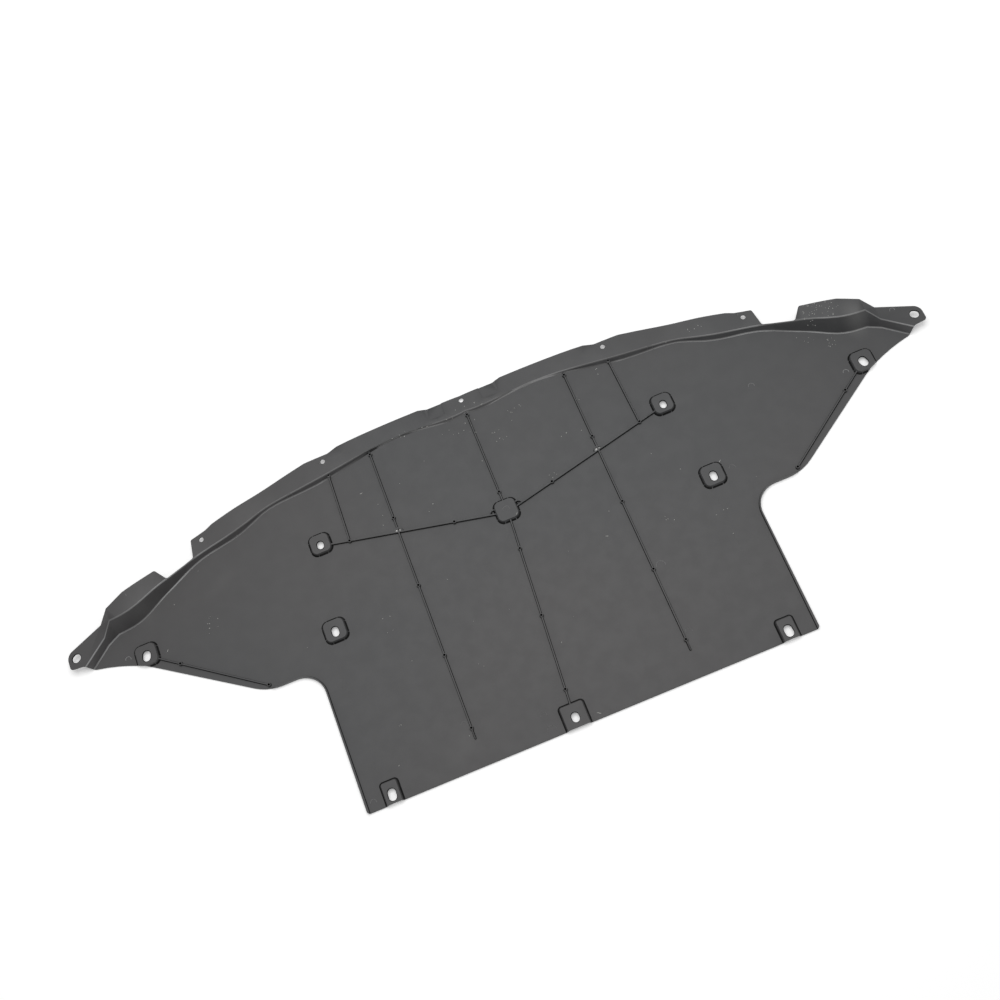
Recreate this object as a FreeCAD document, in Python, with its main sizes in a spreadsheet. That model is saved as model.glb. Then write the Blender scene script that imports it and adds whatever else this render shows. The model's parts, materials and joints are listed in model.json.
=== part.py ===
"""Bumper splash shield: one injection-moulded undertray panel, seen from its ribbed inner side.

The panel lies on the flat underside of its plate. +X runs across the car, +Y points to the front flange
and +Z is up. The origin is the middle of the footprint, on the underside of the plate.

The right half is built first: a plate, a raised front form that stands on it behind a leaning step wall,
the core that hollows this form from below, embossed fixing pads, ribs with posts, and at last the plan
outline that trims them all. The half is mirrored, and what is not symmetric is added to the whole.
"""
import FreeCAD, Part
import math
import os
import re

import Sketcher
from FreeCAD import Vector

doc = FreeCAD.newDocument("splash_shield")

# Driving dimensions: alias, millimetres or degrees, what it is
SIZES = [
    ("skin", 2.5, "wall thickness of the moulding"),
    ("half_width", 737.0, "centre line to the tip of an ear"),
    ("half_depth", 293.0, "origin to the front edge and to the rear edge"),
    ("spare", 40.0, "how far rough shapes reach past the outline before it trims them"),
    # Plan of the rear section and the slanting outer edges
    ("rear_half", 368.2, "half the rear edge"),
    ("waist_half", 366.8, "half the width at the top of the rear section"),
    ("shoulder_y", -55.0, "straight edge between rear section and outer edge"),
    ("shoulder_x", 452.0, "where that edge turns into the outer edge"),
    ("waist_round", 38.0, "inside radius of the cut-out corner"),
    ("shoulder_round", 80.0, "outside radius of the shoulder"),
    ("pad_edge_x", 618.0, "outer edge beside the outermost pad, inner end"),
    ("pad_edge_y", 57.5, "the same, fore and aft"),
    ("pad_end_x", 637.0, "outer edge beside the outermost pad, outer end"),
    ("pad_end_y", 67.0, "the same, fore and aft"),
    ("sweep_x", 670.0, "middle of the curved edge between pad and ear"),
    ("sweep_y", 79.4, "the same, fore and aft"),
    ("sweep_round", 120.0, "radius where that edge turns into the slanting one"),
    # Plan of the ear
    ("ear_root_x", 703.0, "where the edge climbs the step wall"),
    ("ear_root_y", 87.5, "the same, fore and aft"),
    ("ear_foot_x", 716.0, "rear edge of the ear, inner end"),
    ("ear_foot_y", 95.0, "the same, fore and aft"),
    ("ear_rear_y", 97.0, "rear edge of the ear at its tip"),
    ("ear_front_y", 121.8, "front corner of the ear"),
    ("ear_round", 16.0, "radius of the front corner of the ear"),
    # Plan of the end tab
    ("facet_foot_y", 149.0, "front edge at the foot of the sloping facet"),
    ("facet_top_y", 165.4, "front edge at the top of the sloping facet"),
    ("tab_bend_x", 618.7, "bend in the front edge of the tab"),
    ("tab_bend_y", 181.5, "the same, fore and aft"),
    ("tab_corner_x", 561.5, "inner front corner of the tab"),
    ("tab_corner_y", 198.3, "the same, fore and aft"),
    ("notch_out_x", 547.0, "outer end of the notch"),
    ("notch_out_y", 178.8, "the same, fore and aft"),
    ("notch_in_x", 498.2, "inner end of the notch"),
    ("notch_in_y", 198.0, "the same, fore and aft"),
    # Plan of the front flange
    ("flange_end_x", 493.5, "front corner of the flange end"),
    ("flange_end_y", 228.5, "the same, fore and aft"),
    ("outer_step_x", 453.0, "start of the step back at the outer clip hole"),
    ("outer_step_y", 241.3, "the same, fore and aft"),
    ("outer_back_x", 466.0, "end of that step back"),
    ("outer_back_y", 235.5, "the same, fore and aft"),
    ("bow_x", 350.0, "middle of the bowed front edge between the clip holes"),
    ("bow_y", 265.4, "the same, fore and aft"),
    ("inner_step_x", 219.0, "start of the step back at the inner clip hole"),
    ("inner_step_y", 285.9, "the same, fore and aft"),
    ("inner_back_x", 236.0, "end of that step back"),
    ("inner_back_y", 280.0, "the same, fore and aft"),
    ("inner_out_x", 278.0, "where the edge leaves the inner clip hole"),
    ("inner_out_y", 279.2, "the same, fore and aft"),
    ("crest_x", 105.0, "foremost point of the front edge"),
    ("crest_start_y", 292.4, "front edge where it reaches its crest"),
    ("mid_half", 58.0, "half the step back at the middle clip hole"),
    ("mid_run", 15.0, "width of that step"),
    ("mid_y", 288.0, "front edge at the middle clip hole"),
    ("edge_round", 12.0, "radius of the steps in the front edge"),
    ("corner_round", 4.0, "radius of the outer corners"),
    # Step wall between the plate and the raised front
    ("draft", 25.0, "lean of the step wall from upright"),
    ("facet_x", 651.0, "end of the level tab and top of the facet"),
    ("ear_x", 671.5, "start of the level ear and foot of the facet"),
    ("rim_bevel", 2.6, "width of the bevel along the top of the step wall"),
    ("foot_bevel", 2.8, "width of the bevel along the foot of the step wall"),
    ("foot_sink", 0.06, "how far that bevel dips into the plate"),
    # Fixing pads
    ("pad_rise", 6.0, "height of the pads above the plate"),
    ("pad_draft", 27.0, "lean of the pad walls from upright"),
    ("inner_pad_x", 298.0, "inner pad"),
    ("inner_pad_y", 139.3, "the same, fore and aft"),
    ("inner_pad_size", 36.5, "side of the inner pad at its foot"),
    ("middle_pad_x", 321.7, "middle pad"),
    ("middle_pad_y", -5.0, "the same, fore and aft"),
    ("middle_pad_size", 39.0, "side of the middle pad at its foot"),
    ("outer_pad_x", 617.3, "outermost pad"),
    ("outer_pad_y", 76.5, "the same, fore and aft"),
    ("outer_pad_size", 39.0, "side of the outermost pad at its foot"),
    ("pad_corner", 11.0, "corner radius of the pads at their foot"),
    ("rear_pad_x", 323.0, "pad that opens onto the rear edge"),
    ("rear_pad_width", 30.0, "its width at its foot"),
    ("rear_pad_front", -256.5, "its front edge"),
    ("rear_pad_corner", 6.0, "its corner radius at its foot"),
    ("offset_pad_x", -24.0, "single pad on the rear edge, left of the middle"),
    ("offset_pad_width", 42.0, "its width at its foot"),
    ("offset_pad_front", -253.5, "its front edge"),
    ("boss_y", 72.0, "closed boss on the centre line"),
    ("boss_size", 39.0, "side of the boss at its foot"),
    # Fixing holes
    ("clip_hole", 8.0, "diameter of the clip holes in the flange"),
    ("outer_clip_x", 476.5, "outer clip hole"),
    ("outer_clip_y", 222.8, "the same, fore and aft"),
    ("inner_clip_x", 248.2, "inner clip hole"),
    ("inner_clip_y", 270.0, "the same, fore and aft"),
    ("mid_clip_y", 280.0, "clip hole on the centre line"),
    ("ear_hole_x", 723.0, "oblong hole in the ear"),
    ("ear_hole_y", 112.0, "the same, fore and aft"),
    ("ear_hole_width", 12.5, "its width"),
    ("ear_hole_length", 15.0, "its length"),
    ("ear_hole_turn", -30.0, "its long axis, from the width of the panel"),
    ("inner_hole_y", 136.3, "hole in the inner pad"),
    ("inner_hole_width", 11.0, "its width"),
    ("inner_hole_length", 13.5, "its length"),
    ("middle_hole_y", -8.0, "slot in the middle pad"),
    ("middle_hole_width", 11.5, "its width"),
    ("middle_hole_length", 16.5, "its length"),
    ("outer_hole_y", 74.0, "slot in the outermost pad"),
    ("outer_hole_width", 13.0, "its width"),
    ("outer_hole_length", 17.5, "its length"),
    ("outer_hole_turn", 108.0, "its long axis"),
    ("rear_hole_y", -280.0, "slot in the rear pad"),
    ("rear_hole_width", 13.0, "its width"),
    ("rear_hole_length", 19.0, "its length"),
    ("rear_hole_turn", 93.0, "its long axis"),
    ("offset_hole_y", -277.7, "slot in the single rear pad"),
    ("offset_hole_width", 12.0, "its width"),
    ("offset_hole_length", 15.5, "its length"),
    # Ribs and posts
    ("rib_width", 1.8, "thickness of a rib"),
    ("rib_rise", 4.0, "height of the ribs above the plate"),
    ("post_width", 5.6, "width of the six-sided posts on the ribs, from corner to corner"),
    ("post_rise", 4.6, "height of the posts above the plate"),
    ("long_rib_front_x", 171.8, "long rib at the step wall"),
    ("long_rib_rear_x", 176.4, "long rib at its rear end"),
    ("long_rib_rear_y", -249.0, "its rear end"),
    ("first_post_y", 251.4, "front post of the long and middle ribs"),
    ("second_post_y", 133.2, "second post of the long rib"),
    ("short_post_y", 244.6, "front post of the short rib"),
    ("middle_post_y", 105.5, "post on the middle rib at the boss"),
    ("slant_post_y", 4.0, "first post on the slanting rib"),
    ("post_pitch", 121.6, "spacing of the posts behind it"),
    ("short_rib_front_x", 247.6, "short rib at the step wall"),
    ("short_rib_rear_x", 251.8, "short rib at the cross rib"),
    ("cross_rib_y", 68.1, "cross rib, carried on to the centre line"),
    ("cross_rib_slope", 0.2269, "its climb towards the inner pad"),
    ("cross_post_x", 84.4, "post on the cross rib"),
    ("outer_rib_x", 447.5, "outer rib at its inner end"),
    ("outer_rib_y", -46.2, "the same, fore and aft"),
    ("outer_rib_end_x", 602.0, "outer rib at the outermost pad"),
    ("outer_rib_end_y", 64.4, "the same, fore and aft"),
    ("outer_post_x", 570.2, "second post on the outer rib"),
    ("gate_radius", 7.4, "outer radius of the half ring at a gate"),
    ("boss_ring_x", 20.5, "half ring beside the boss"),
    ("boss_ring_radius", 8.6, "its outer radius"),
    ("dip_start", 33.0, "shallow dip in the flange, inner end"),
    ("dip_end", 63.0, "the same, outer end"),
    ("dip_depth", 0.5, "how deep that dip is"),
    ("lip_width", 2.0, "thickness of the lip along the side edge"),
    ("lip_rise", 4.0, "height of that lip above the plate"),
]

# Stations of the step wall across the width: place, foot of the wall fore and aft, rise above the plate
STATIONS = [
    (0, 258.0, 3.0),
    (60, 258.0, 3.0),
    (200, 251.8, 6.0),
    (300, 237.0, 8.0),
    (400, 215.8, 9.3),
    (460, 200.8, 10.1),
    (500, 190.3, 11.2),
    (525, 178.5, 15.2),
    (560, 161.3, 22.4),
    (600, 139.0, 29.8),
    (630, 130.4, 32.0),
    ("facet_x", 128.3, 32.0),
    ("ear_x", 117.5, 15.0),
    (690, 102.0, 15.0),
    (800, 13.0, 15.0),
]
for index, (place, foot, rise) in enumerate(STATIONS):
    if not isinstance(place, str):
        SIZES.append(("station_%d" % index, place, "place of a station of the step wall"))
    SIZES.append(("foot_%d" % index, foot, "foot of the wall there, fore and aft"))
    SIZES.append(("rise_%d" % index, rise, "rise of the wall there above the plate"))

sheet = doc.addObject("Spreadsheet::Sheet", "Sizes")
for row, (alias, value, meaning) in enumerate(SIZES, start=1):
    sheet.set("A%d" % row, meaning)
    sheet.set("B%d" % row, str(value))
    sheet.setAlias("B%d" % row, alias)
doc.recompute()

ALIASES = {alias for alias, value, meaning in SIZES}


def cells(text):
    """Expression of the document for a formula of sheet names, such as 'half_width + spare'."""
    return re.sub("[a-z][a-z0-9_]*", lambda word: "Sizes." + word[0] if word[0] in ALIASES else word[0], text)


def number(text):
    """Value of such a formula."""
    return float(sheet.evalExpression(cells(text)))


def new_sketch(body, name, role="XY_Plane", height=None):
    """Sketch on one of the body's origin planes, raised by a sum of cells."""
    sketch = body.newObject("Sketcher::SketchObject", name)
    plane = [feature for feature in body.Origin.OriginFeatures if feature.Role == role][0]
    sketch.AttachmentSupport = (plane, [""])
    sketch.MapMode = "FlatFace"
    if height:
        sketch.setExpression("AttachmentOffset.Base.z", cells(height))
    return sketch


def bind(sketch, kind, geometry, text, datum):
    """Constraint of one size, bound to a sum of cells."""
    index = sketch.addConstraint(Sketcher.Constraint(kind, *geometry, datum))
    sketch.setExpression("Constraints[%d]" % index, cells(text))


def bind_point(sketch, geometry, position, x, y):
    bind(sketch, "DistanceX", (-1, 1, geometry, position), x, number(x))
    bind(sketch, "DistanceY", (-1, 1, geometry, position), y, number(y))


def arc_through(start, middle, end):
    """Arc that the sketcher keeps, anticlockwise, and whether its first end is the start."""
    circle = Part.Circle(start, middle, end)
    centre = circle.Center
    forward = (middle - start).cross(end - middle).z > 0
    first, last = (start, end) if forward else (end, start)
    angles = [math.atan2(point.y - centre.y, point.x - centre.x) for point in (first, last)]
    upright = Part.Circle(centre, Vector(0, 0, 1), circle.Radius)
    return Part.ArcOfCircle(upright, angles[0], angles[1]), forward


def add_outline(sketch, path):
    """Closed outline with each corner at a pair of sums of cells.

    Edges are straight. Where a point marked "via" stands between two corners, the edge is an arc through it.
    """
    corners = []
    vias = {}
    for x, y, mark in path:
        if mark == "via":
            vias[len(corners) - 1] = (x, y)
        else:
            corners.append((x, y))
    points = [Vector(number(x), number(y), 0) for x, y in corners]
    count = len(points)
    ends = []
    for i in range(count):
        start, end = points[i], points[(i + 1) % count]
        if i in vias:
            x, y = vias[i]
            middle = Vector(number(x), number(y), 0)
            arc, forward = arc_through(start, middle, end)
            index = sketch.addGeometry(arc, False)
            point = sketch.addGeometry(Part.Point(middle), True)
            bind_point(sketch, point, 1, x, y)
            sketch.addConstraint(Sketcher.Constraint("PointOnObject", point, 1, index))
            ends.append((index, 1, 2) if forward else (index, 2, 1))
        else:
            ends.append((sketch.addGeometry(Part.LineSegment(start, end), False), 1, 2))
    for i in range(count):
        edge, following = ends[i], ends[(i + 1) % count]
        sketch.addConstraint(Sketcher.Constraint("Coincident", edge[0], edge[2], following[0], following[1]))
    for edge, (x, y) in zip(ends, corners):
        bind_point(sketch, edge[0], edge[1], x, y)


def add_circle(sketch, x, y, diameter):
    centre = Vector(number(x), number(y), 0)
    index = sketch.addGeometry(Part.Circle(centre, Vector(0, 0, 1), number(diameter) / 2), False)
    bind_point(sketch, index, 3, x, y)
    bind(sketch, "Diameter", (index,), diameter, number(diameter))


def add_slot(sketch, x, y, width, length, turn):
    """Oblong hole about a centre, with its long axis turned from the sketch's first axis."""
    reach_x = "(%s - %s) / 2 * cos(%s)" % (length, width, turn)
    reach_y = "(%s - %s) / 2 * sin(%s)" % (length, width, turn)
    angle = math.radians(number(turn))
    radius = number(width) / 2
    side = Vector(-math.sin(angle), math.cos(angle), 0) * radius
    centres = []
    arcs = []
    for sign, start in ((" + ", -0.5), (" - ", 0.5)):
        cx, cy = x + sign + reach_x, y + sign + reach_y
        centre = Vector(number(cx), number(cy), 0)
        circle = Part.Circle(centre, Vector(0, 0, 1), radius)
        first = angle + start * math.pi
        arc = sketch.addGeometry(Part.ArcOfCircle(circle, first, first + math.pi), False)
        bind_point(sketch, arc, 3, cx, cy)
        centres.append(centre)
        arcs.append(arc)
    upper = sketch.addGeometry(Part.LineSegment(centres[0] + side, centres[1] + side), False)
    lower = sketch.addGeometry(Part.LineSegment(centres[1] - side, centres[0] - side), False)
    for line, position, arc, end in ((upper, 1, arcs[0], 2), (upper, 2, arcs[1], 1),
                                     (lower, 1, arcs[1], 2), (lower, 2, arcs[0], 1)):
        sketch.addConstraint(Sketcher.Constraint("Tangent", line, position, arc, end))
    sketch.addConstraint(Sketcher.Constraint("Equal", arcs[0], arcs[1]))
    bind(sketch, "Radius", (arcs[0],), "%s / 2" % width, radius)


def add_bar(sketch, x, y, far_x, far_y):
    """Footprint of a straight rib between two points, as thick as a rib."""
    if abs(number(far_y) - number(y)) > abs(number(far_x) - number(x)):
        offset = ("rib_width / 2", "0")
    else:
        slope = "((%s) - (%s)) / ((%s) - (%s))" % (far_y, y, far_x, x)
        offset = ("0", "rib_width / 2 / cos(atan(%s))" % slope)
    corners = [(x, y, 1), (far_x, far_y, 1), (far_x, far_y, -1), (x, y, -1)]
    signs = {1: " + ", -1: " - "}
    add_outline(sketch, [(px + signs[side] + offset[0], py + signs[side] + offset[1], None)
                         for px, py, side in corners])


def finish(body, feature):
    """Makes a feature the body's tip, and stops if it could not be made."""
    body.Tip = feature
    doc.recompute()
    if "Invalid" in feature.State or feature.Shape.isNull():
        raise ValueError("%s: %s" % (feature.Name, feature.getStatusString()))
    return feature


def pad(body, sketch, name, length, draft=None):
    """Material above a sketch, with sides that lean inwards by the draft."""
    feature = body.newObject("PartDesign::Pad", name)
    feature.Profile = sketch
    feature.setExpression("Length", cells(length))
    if draft:
        feature.setExpression("TaperAngle", "0 - " + cells(draft))
    return finish(body, feature)


def hollow(body, sketch, name, depth, draft=None):
    """Room above a sketch, cut out of the body, with sides that lean inwards by the draft."""
    feature = body.newObject("PartDesign::Pocket", name)
    feature.Profile = sketch
    feature.Reversed = True
    feature.setExpression("Length", cells(depth))
    if draft:
        feature.setExpression("TaperAngle", "0 - " + cells(draft))
    return finish(body, feature)


def cut_through(body, sketch, name):
    feature = body.newObject("PartDesign::Pocket", name)
    feature.Profile = sketch
    feature.Type = "ThroughAll"
    feature.Midplane = True
    return finish(body, feature)


def combine(body, tool, kind):
    """Boolean of the body with another body: Fuse, Cut or Common."""
    feature = body.newObject("PartDesign::Boolean", "%s_%s" % (tool.Label, kind.lower()))
    feature.Type = kind
    feature.setObjects([tool])
    return finish(body, feature)


def fillet(body, name, edges, radius):
    """Rounding of the tip's edges, given by name."""
    base = body.Tip
    feature = body.newObject("PartDesign::Fillet", name)
    feature.Base = (base, edges)
    feature.setExpression("Radius", cells(radius))
    return finish(body, feature)


def edges_where(shape, test):
    return ["Edge%d" % i for i, edge in enumerate(shape.Edges, start=1) if test(edge)]


def near(a, b, reach=0.01):
    return abs(a - b) < reach


def upright_at(x, y):
    """Test for an edge that rises from a corner of a plan."""
    def test(edge):
        low = min((vertex.Point for vertex in edge.Vertexes), key=lambda point: point.z)
        high = max(vertex.Point.z for vertex in edge.Vertexes)
        return high - low.z > 0.5 and near(low.x, number(x)) and near(low.y, number(y))
    return test


def round_uprights(body, name, corners, radius):
    """Rounds the edges that rise from some corners of a plan."""
    found = []
    for x, y in corners:
        found += edges_where(body.Tip.Shape, upright_at(x, y))
    if len(found) != len(corners):
        raise ValueError("%s: %d edges for %d corners" % (name, len(found), len(corners)))
    return fillet(body, name, found, radius)


# Plan outline of the right half, from the middle of the front edge round to the middle of the rear edge
OUTLINE = [
    ("0", "mid_y", None),
    ("mid_half", "mid_y", "edge_round"),
    ("mid_half + mid_run", "crest_start_y", "edge_round"),
    ("crest_x", "half_depth", "via"),
    ("inner_step_x", "inner_step_y", "edge_round"),
    ("inner_back_x", "inner_back_y", "edge_round"),
    ("inner_out_x", "inner_out_y", "edge_round"),
    ("bow_x", "bow_y", "via"),
    ("outer_step_x", "outer_step_y", "edge_round"),
    ("outer_back_x", "outer_back_y", "edge_round"),
    ("flange_end_x", "flange_end_y", "corner_round"),
    ("notch_in_x", "notch_in_y", "corner_round"),
    ("notch_out_x", "notch_out_y", "corner_round"),
    ("tab_corner_x", "tab_corner_y", "corner_round"),
    ("tab_bend_x", "tab_bend_y", "edge_round"),
    ("facet_x", "facet_top_y", "corner_round"),
    ("ear_x", "facet_foot_y", "corner_round"),
    ("half_width", "ear_front_y", "ear_round"),
    ("half_width", "ear_rear_y", "corner_round"),
    ("ear_foot_x", "ear_foot_y", "edge_round"),
    ("ear_root_x", "ear_root_y", "edge_round"),
    ("sweep_x", "sweep_y", "via"),
    ("pad_end_x", "pad_end_y", None),
    ("pad_edge_x", "pad_edge_y", "sweep_round"),
    ("shoulder_x", "shoulder_y", "shoulder_round"),
    ("waist_half", "shoulder_y", "waist_round"),
    ("rear_half", "0 - half_depth", "corner_round"),
    ("0", "0 - half_depth", None),
]
POST_SIDES = 6
RING_FLATS = 6
OUTLINE_ROUNDS = ("edge_round", "corner_round", "ear_round", "sweep_round", "shoulder_round", "waist_round")

trim = doc.addObject("PartDesign::Body", "outline_block")
trim_plan = new_sketch(trim, "outline_plan", height="0 - spare")
add_outline(trim_plan, OUTLINE)
pad(trim, trim_plan, "outline_pad", "spare + rise_11 + spare")
for radius in OUTLINE_ROUNDS:
    round_uprights(trim, "outline_" + radius, [(x, y) for x, y, mark in OUTLINE if mark == radius], radius)


def station_place(index):
    place = STATIONS[index][0]
    return place if isinstance(place, str) else "station_%d" % index


def wall_stretch(index):
    """How much longer the wall's run is along Y than square to the wall, at a station."""
    before, after = max(index - 1, 0), min(index + 1, len(STATIONS) - 1)
    slope = "((foot_%d - foot_%d) / (%s - %s))" % (after, before, station_place(after), station_place(before))
    return "sqrt(1 + %s * %s)" % (slope, slope)


def bevel(y, z, lean, width, side):
    """Ends of the bevel where the wall meets a level line: side is 1 at its foot and -1 at its rim."""
    run = "%s / 2 / cos(45 deg - %s / 2)" % (width, lean)
    signs = (" - ", " + ") if side == 1 else (" + ", " - ")
    level = (y + signs[0] + run, z)
    on_wall = (y + signs[1] + "%s * sin(%s)" % (run, lean), z + signs[1] + "%s * cos(%s)" % (run, lean))
    return (level, on_wall) if side == 1 else (on_wall, level)


def outer_section(index):
    """Section of the raised front at a station, as fore and aft place and height."""
    lean = "atan(tan(draft) * %s)" % wall_stretch(index)
    foot = ("foot_%d" % index, "skin - foot_sink")
    top = "skin + rise_%d" % index
    rim_y = "foot_%d + (rise_%d + foot_sink) * tan(%s)" % (index, index, lean)
    foot_start, foot_end = bevel(foot[0], foot[1], lean, "foot_bevel", 1)
    rim_start, rim_end = bevel(rim_y, top, lean, "rim_bevel", -1)
    far = "half_depth + spare"
    corners = [(far, "skin / 3"), (foot_start[0], "skin / 3"), foot_start, foot_end, rim_start, rim_end,
               (far, top)]
    return [(*corner, None) for corner in corners]


def core_section(index):
    """Section of the hollow under the raised front at a station."""
    stretch = wall_stretch(index)
    behind = "skin / cos(draft) * %s" % stretch
    low = "foot_%d - 2 * skin * tan(draft) * %s + %s" % (index, stretch, behind)
    high = "foot_%d + (rise_%d - skin) * tan(draft) * %s + %s" % (index, index, stretch, behind)
    far = "half_depth + spare + spare"
    return [(far, "0 - skin", None), (low, "0 - skin", None), (high, "rise_%d" % index, None),
            (far, "rise_%d" % index, None)]


def lofted_form(name, section):
    """Solid through the sections at all stations: the climbing front, the straight facet and the ear."""
    body = doc.addObject("PartDesign::Body", name)
    sketches = []
    for index in range(len(STATIONS)):
        sketch = new_sketch(body, "%s_%d" % (name, index), role="YZ_Plane", height=station_place(index))
        add_outline(sketch, section(index))
        sketches.append(sketch)
    facet = [row[0] for row in STATIONS].index("facet_x")
    for label, first, last in (("front", 0, facet), ("facet", facet, facet + 1),
                               ("ear", facet + 1, len(STATIONS) - 1)):
        loft = body.newObject("PartDesign::AdditiveLoft", "%s_%s" % (name, label))
        loft.Profile = sketches[first]
        loft.Sections = sketches[first + 1:last + 1]
        finish(body, loft)
    return body


def rounded_box(left, right, front, rear, radius, rounded, straight=False):
    """Path of a box in plan whose first corners, from the front left, are rounded or cut straight across."""
    short = "(%s) * (1 - cos(45))" % radius
    inward = [(left, " + ", front, " - "), (right, " - ", front, " - "),
              (right, " - ", rear, " + "), (left, " + ", rear, " + ")]
    path = []
    for turn, (x, sign_x, y, sign_y) in enumerate(inward):
        if turn >= rounded:
            path.append((x, y, None))
            continue
        along_x = (x + sign_x + "(%s)" % radius, y, None)
        along_y = (x, y + sign_y + "(%s)" % radius, None)
        via = (x + sign_x + short, y + sign_y + short, "via")
        ends = [along_y, along_x] if turn % 2 == 0 else [along_x, along_y]
        path += ends if straight else [ends[0], via, ends[1]]
    return path


def emboss(body, name, x, front, rear, width, corner, rounded):
    """Pad pressed up from the plate: a leaning wall all round, a level top and a cavity below it.

    rounded is the number of rounded corners, the front two first.
    """
    shrink = "skin * (1 - sin(pad_draft)) / cos(pad_draft)"

    def path(inset, straight=False):
        left = "%s - (%s) / 2 + %s" % (x, width, inset)
        right = "%s + (%s) / 2 - %s" % (x, width, inset)
        ahead, behind = "%s - %s" % (front, inset), "%s + %s" % (rear, inset)
        return rounded_box(left, right, ahead, behind, "%s - %s" % (corner, inset), rounded, straight)

    plan = new_sketch(body, name + "_plan", height="skin")
    add_outline(plan, path("0"))
    pad(body, plan, name + "_pad", "pad_rise", "pad_draft")
    cavity = new_sketch(body, name + "_cavity")
    add_outline(cavity, path(shrink, straight=True))
    hollow(body, cavity, name + "_hollow", "pad_rise", "pad_draft")


def rib(body, name, x, y, far_x, far_y):
    plan = new_sketch(body, name + "_plan", height="skin")
    add_bar(plan, x, y, far_x, far_y)
    pad(body, plan, name, "rib_rise")


def polar(x, y, radius, angle):
    """Place at some radius and direction from a point."""
    return "%s + (%s) * cos(%s)" % (x, radius, angle), "%s + (%s) * sin(%s)" % (y, radius, angle)


def posts(body, name, places):
    """Posts whose outline is a regular polygon with flats square to the long ribs."""
    plan = new_sketch(body, name + "_plan", height="skin")
    for x, y in places:
        angles = ["%g" % (turn * 360 / POST_SIDES) for turn in range(POST_SIDES)]
        add_outline(plan, [(*polar(x, y, "post_width / 2", angle), None) for angle in angles])
    pad(body, plan, name, "post_rise")


def half_ring(body, name, x, y, radius):
    """Low wall bent in flats to a half circle, on the front side of the cross rib."""
    lean = "atan(cross_rib_slope)"
    angles = ["(%s + %g deg)" % (lean, turn * 180 / RING_FLATS) for turn in range(RING_FLATS + 1)]
    outer = [polar(x, y, radius, angle) for angle in angles]
    inner = [polar(x, y, radius + " - rib_width", angle) for angle in reversed(angles)]
    plan = new_sketch(body, name + "_plan", height="skin")
    add_outline(plan, [(*corner, None) for corner in outer + inner])
    pad(body, plan, name, "rib_rise")


raised = lofted_form("raised_front", outer_section)
core = lofted_form("front_core", core_section)

# Right half: plate, raised front, pads, ribs and the cut to the outline
half = doc.addObject("PartDesign::Body", "right_half")
plate_plan = new_sketch(half, "plate_plan")
PLATE = [("0", "0 - half_depth - spare"), ("half_width + spare", "0 - half_depth - spare"),
         ("half_width + spare", "half_depth + spare / 2"), ("0", "half_depth + spare / 2")]
add_outline(plate_plan, [(x, y, None) for x, y in PLATE])
pad(half, plate_plan, "plate", "skin")
combine(half, raised, "Fuse")
combine(half, core, "Cut")
for name in ("inner_pad", "middle_pad", "outer_pad"):
    side = name + "_size"
    emboss(half, name, name + "_x", "%s_y + %s / 2" % (name, side), "%s_y - %s / 2" % (name, side), side,
           "pad_corner", 4)
emboss(half, "rear_pad", "rear_pad_x", "rear_pad_front", "0 - half_depth - spare / 2", "rear_pad_width",
       "rear_pad_corner", 2)
boss_front, boss_rear = "boss_y + boss_size / 2", "boss_y - boss_size / 2"
emboss(half, "boss", "0", boss_front, boss_rear, "boss_size", "pad_corner", 4)


def cross_y(x):
    """Cross rib's place fore and aft at some distance from the centre line."""
    return "cross_rib_y + cross_rib_slope * (%s)" % x


def long_x(y):
    """Long rib's distance from the centre line at a place fore and aft."""
    share = "(first_post_y - (%s)) / (first_post_y - long_rib_rear_y)" % y
    return "long_rib_front_x + (long_rib_rear_x - long_rib_front_x) * %s" % share


def outer_y(x):
    slope = "(outer_rib_end_y - outer_rib_y) / (outer_rib_end_x - outer_rib_x)"
    return "outer_rib_y + ((%s) - outer_rib_x) * %s" % (x, slope)


rib(half, "long_rib", "long_rib_front_x", "first_post_y + post_width", "long_rib_rear_x", "long_rib_rear_y")
rib(half, "short_rib", "short_rib_front_x", "short_post_y", "short_rib_rear_x", cross_y("short_rib_rear_x"))
inner_wall = "inner_pad_x - inner_pad_size / 2 + skin"
boss_wall = "boss_size / 2 - skin"
rib(half, "cross_rib", boss_wall, cross_y(boss_wall), inner_wall, cross_y(inner_wall))
rib(half, "outer_rib", "outer_rib_x", "outer_rib_y", "outer_rib_end_x", "outer_rib_end_y")
rib(half, "middle_rib", "0", "first_post_y + post_width", "0", boss_front + " - skin")
REAR_POSTS = ["second_post_y - %d * post_pitch" % turn for turn in (1, 2, 3)]
posts(half, "half_posts", [(long_x(y), y) for y in ["first_post_y", "second_post_y"] + REAR_POSTS]
      + [("short_rib_front_x", "short_post_y"), ("short_rib_rear_x", cross_y("short_rib_rear_x")),
         ("cross_post_x", cross_y("cross_post_x")), ("outer_rib_x", "outer_rib_y"),
         ("outer_post_x", outer_y("outer_post_x")), ("0", "first_post_y"), ("0", "middle_post_y")])
gate_x = long_x(cross_y("long_rib_front_x"))
half_ring(half, "gate_ring", gate_x, cross_y(gate_x), "gate_radius")
half_ring(half, "boss_ring", "boss_ring_x", cross_y("boss_ring_x"), "boss_ring_radius")

# Lip along the shoulder and the side edge; the outline trims it to its thickness
lip_plan = new_sketch(half, "lip_plan")
LIP = [("waist_half - lip_width", "0 - half_depth - spare"),
       ("waist_half - lip_width", "shoulder_y + lip_width"),
       ("outer_rib_x", "shoulder_y + lip_width"), ("outer_rib_x", "0 - half_depth - spare")]
add_outline(lip_plan, [(x, y, None) for x, y in LIP])
pad(half, lip_plan, "lip", "skin + lip_rise")
round_uprights(half, "lip_round", [LIP[1]], "waist_round + lip_width")
combine(half, trim, "Common")

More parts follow.
